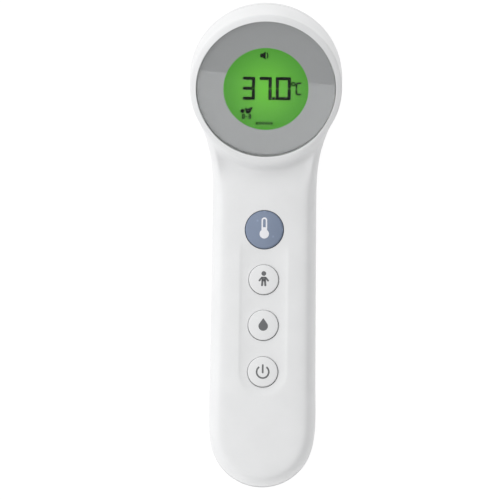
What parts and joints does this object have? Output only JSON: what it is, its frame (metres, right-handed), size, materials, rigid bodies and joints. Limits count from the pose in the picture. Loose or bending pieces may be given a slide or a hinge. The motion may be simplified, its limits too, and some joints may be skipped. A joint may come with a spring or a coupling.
{
  "type": "no-touch infrared thermometer",
  "caption": "Stick-shaped no-touch infrared thermometer with a tilted round display head, push buttons on the handle and a slide-off battery door.",
  "frame": {"origin": "middle of the whole object in plan, on the flat back that it lies on", "axes": "+Z out of the front face, +Y along the handle toward the display head, +X to the right seen from the front"},
  "size_m": [0.0488, 0.1554, 0.0432],
  "materials": {
    "white_plastic": "satin moulded ABS with a very fine texture",
    "light_grey_plastic": "satin moulded ABS",
    "button_white": "satin moulded plastic",
    "button_blue": "satin moulded plastic",
    "mask_grey": "printed grey film",
    "clear_plastic": "clear polished acrylic",
    "screen_green": "lit green liquid crystal display",
    "light_guide": "milky light guide",
    "black_plastic": "satin",
    "board_green": "green solder mask",
    "silicone": "matt silicone",
    "steel": "plated",
    "brass": "turned",
    "cell_wrap": "printed film over a metal can",
    "red_wire": "insulated wire",
    "black_wire": "insulated wire",
    "cable_amber": "polyimide flat cable"
  },
  "bodies": {
    "root": {"front_shell": "white_plastic", "rear_shell": "white_plastic", "sensor_nose": "light_grey_plastic", "housing_screw_1": "steel", "housing_screw_2": "steel", "tray_screw_1": "steel", "tray_screw_2": "steel", "main_board_screw": "steel", "display_screw_1": "steel", "display_screw_2": "steel", "display_screw_3": "steel", "display_lens": "clear_plastic", "display_mask": "mask_grey", "lens_gasket": "black_plastic", "lcd_glass": "screen_green", "lcd_backlight": "light_guide", "backlight_led_left": "light_guide", "backlight_led_right": "light_guide", "lcd_frame": "black_plastic", "lcd_connector": "silicone", "display_board": "board_green", "keypad_seal": "silicone", "measure_switch": "black_plastic", "age_switch": "black_plastic", "object_switch": "black_plastic", "power_switch": "black_plastic", "main_board": "board_green", "microcontroller": "black_plastic", "quartz_crystal": "steel", "buzzer": "black_plastic", "capacitor": "steel", "sensor_window": "black_plastic", "sensor_gasket": "silicone", "sensor_sleeve": "brass", "sensor_can": "steel", "sensor_board": "board_green", "guide_led": "light_guide", "light_pipe": "clear_plastic", "battery_tray": "light_grey_plastic", "battery_1": "cell_wrap", "battery_2": "cell_wrap", "positive_contact": "steel", "negative_contact": "steel", "link_contact": "steel", "link_spring": "steel", "negative_spring": "steel", "positive_wire": "red_wire", "negative_wire": "black_wire", "display_cable": "cable_amber", "sensor_cable": "cable_amber"},
    "measure_button": {"measure_button": "button_blue"},
    "age_button": {"age_button": "button_white"},
    "object_button": {"object_button": "button_white"},
    "power_button": {"power_button": "button_white"},
    "battery_door": {"battery_door": "white_plastic"}
  },
  "joints": [
    {"name": "measure_press", "type": "slide", "parent": "root", "child": "measure_button", "axis": [0, 0, -1], "range_m": [0, 0.0004], "stiffness_N_per_m": 2000, "springref_m": -0.0003},
    {"name": "age_press", "type": "slide", "parent": "root", "child": "age_button", "axis": [0, 0, -1], "range_m": [0, 0.0004], "stiffness_N_per_m": 2000, "springref_m": -0.0003},
    {"name": "object_press", "type": "slide", "parent": "root", "child": "object_button", "axis": [0, 0, -1], "range_m": [0, 0.0004], "stiffness_N_per_m": 2000, "springref_m": -0.0003},
    {"name": "power_press", "type": "slide", "parent": "root", "child": "power_button", "axis": [0, 0, -1], "range_m": [0, 0.0004], "stiffness_N_per_m": 2000, "springref_m": -0.0003},
    {"name": "battery_door_slide", "type": "slide", "parent": "root", "child": "battery_door", "axis": [0, -1, 0], "range_m": [0, 0.076]}
  ]
}
